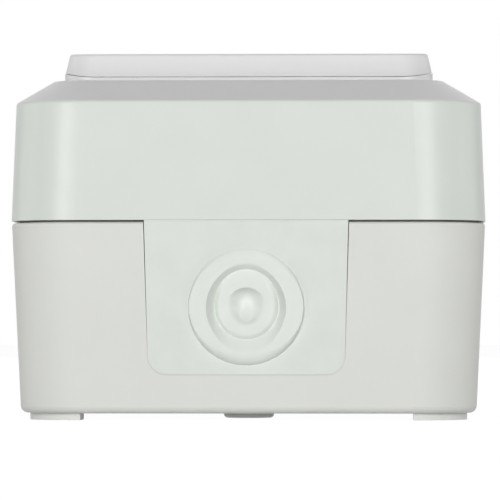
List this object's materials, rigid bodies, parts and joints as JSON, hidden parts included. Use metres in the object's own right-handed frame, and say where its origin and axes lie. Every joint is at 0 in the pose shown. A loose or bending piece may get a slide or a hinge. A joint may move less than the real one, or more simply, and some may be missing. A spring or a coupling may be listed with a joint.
{
  "type": "outdoor weatherproof light switch",
  "caption": "Surface-mounted weatherproof switch: a drafted box with a bevelled lid, a large rocker on top and a soft stepped membrane for the cable in one wall.",
  "frame": {"origin": "centre of the wall plane, under the middle of the box, level with the feet", "axes": "+Z points away from the wall, out through the rocker; -Y is the cable-entry end; +X is to the right when looking at that end"},
  "size_m": [0.066, 0.075, 0.0541],
  "materials": {
    "base_plastic": "moulded light grey plastic, fine matt texture",
    "lid_plastic": "moulded light grey plastic, satin",
    "rocker_plastic": "moulded pale grey plastic, satin",
    "entry_rubber": "moulded light grey soft elastomer, matt",
    "seal_rubber": "dark soft seal",
    "tray_plastic": "off-white insulating plastic, matt",
    "toggle_plastic": "dark grey insulating plastic, satin",
    "spring_steel": "drawn spring wire",
    "screw_steel": "zinc-plated steel",
    "terminal_brass": "stamped brass",
    "contact_silver": "silver contact rivets"
  },
  "bodies": {
    "housing": {"base_box": "base_plastic", "lid": "lid_plastic", "cable_entry_insert": "entry_rubber", "lid_gasket": "seal_rubber", "lid_screw_seals": "seal_rubber", "window_seal": "seal_rubber", "mechanism_tray": "tray_plastic", "mechanism_cover": "tray_plastic", "lid_screws": "screw_steel", "mechanism_screws": "screw_steel", "terminal_screws": "screw_steel", "front_terminal": "terminal_brass", "rear_terminal": "terminal_brass", "common_terminal": "terminal_brass", "earth_terminal": "terminal_brass", "fixed_contact_tips": "contact_silver"},
    "rocker": {"rocker": "rocker_plastic"},
    "toggle": {"toggle": "toggle_plastic", "plunger": "toggle_plastic", "toggle_spring": "spring_steel"},
    "contact": {"contact_arm": "terminal_brass", "contact_arm_tips": "contact_silver"}
  },
  "joints": [
    {"name": "rocker_tilt", "type": "hinge", "parent": "housing", "child": "rocker", "pos_m": [0, 0, 0.04887], "axis": [1, 0, 0], "range_deg": [-6.4, 0]},
    {"name": "toggle_tilt", "type": "hinge", "parent": "housing", "child": "toggle", "pos_m": [0, 0, 0.03007], "axis": [1, 0, 0], "range_deg": [0, 15.48]},
    {"name": "contact_tilt", "type": "hinge", "parent": "housing", "child": "contact", "pos_m": [0, 0, 0.01807], "axis": [1, 0, 0], "range_deg": [-18.01, 0]}
  ],
  "couplings": [
    {"joint": "toggle_tilt", "follows": "rocker_tilt", "ratio": -2.4182},
    {"joint": "contact_tilt", "follows": "rocker_tilt", "ratio": 2.8125}
  ]
}
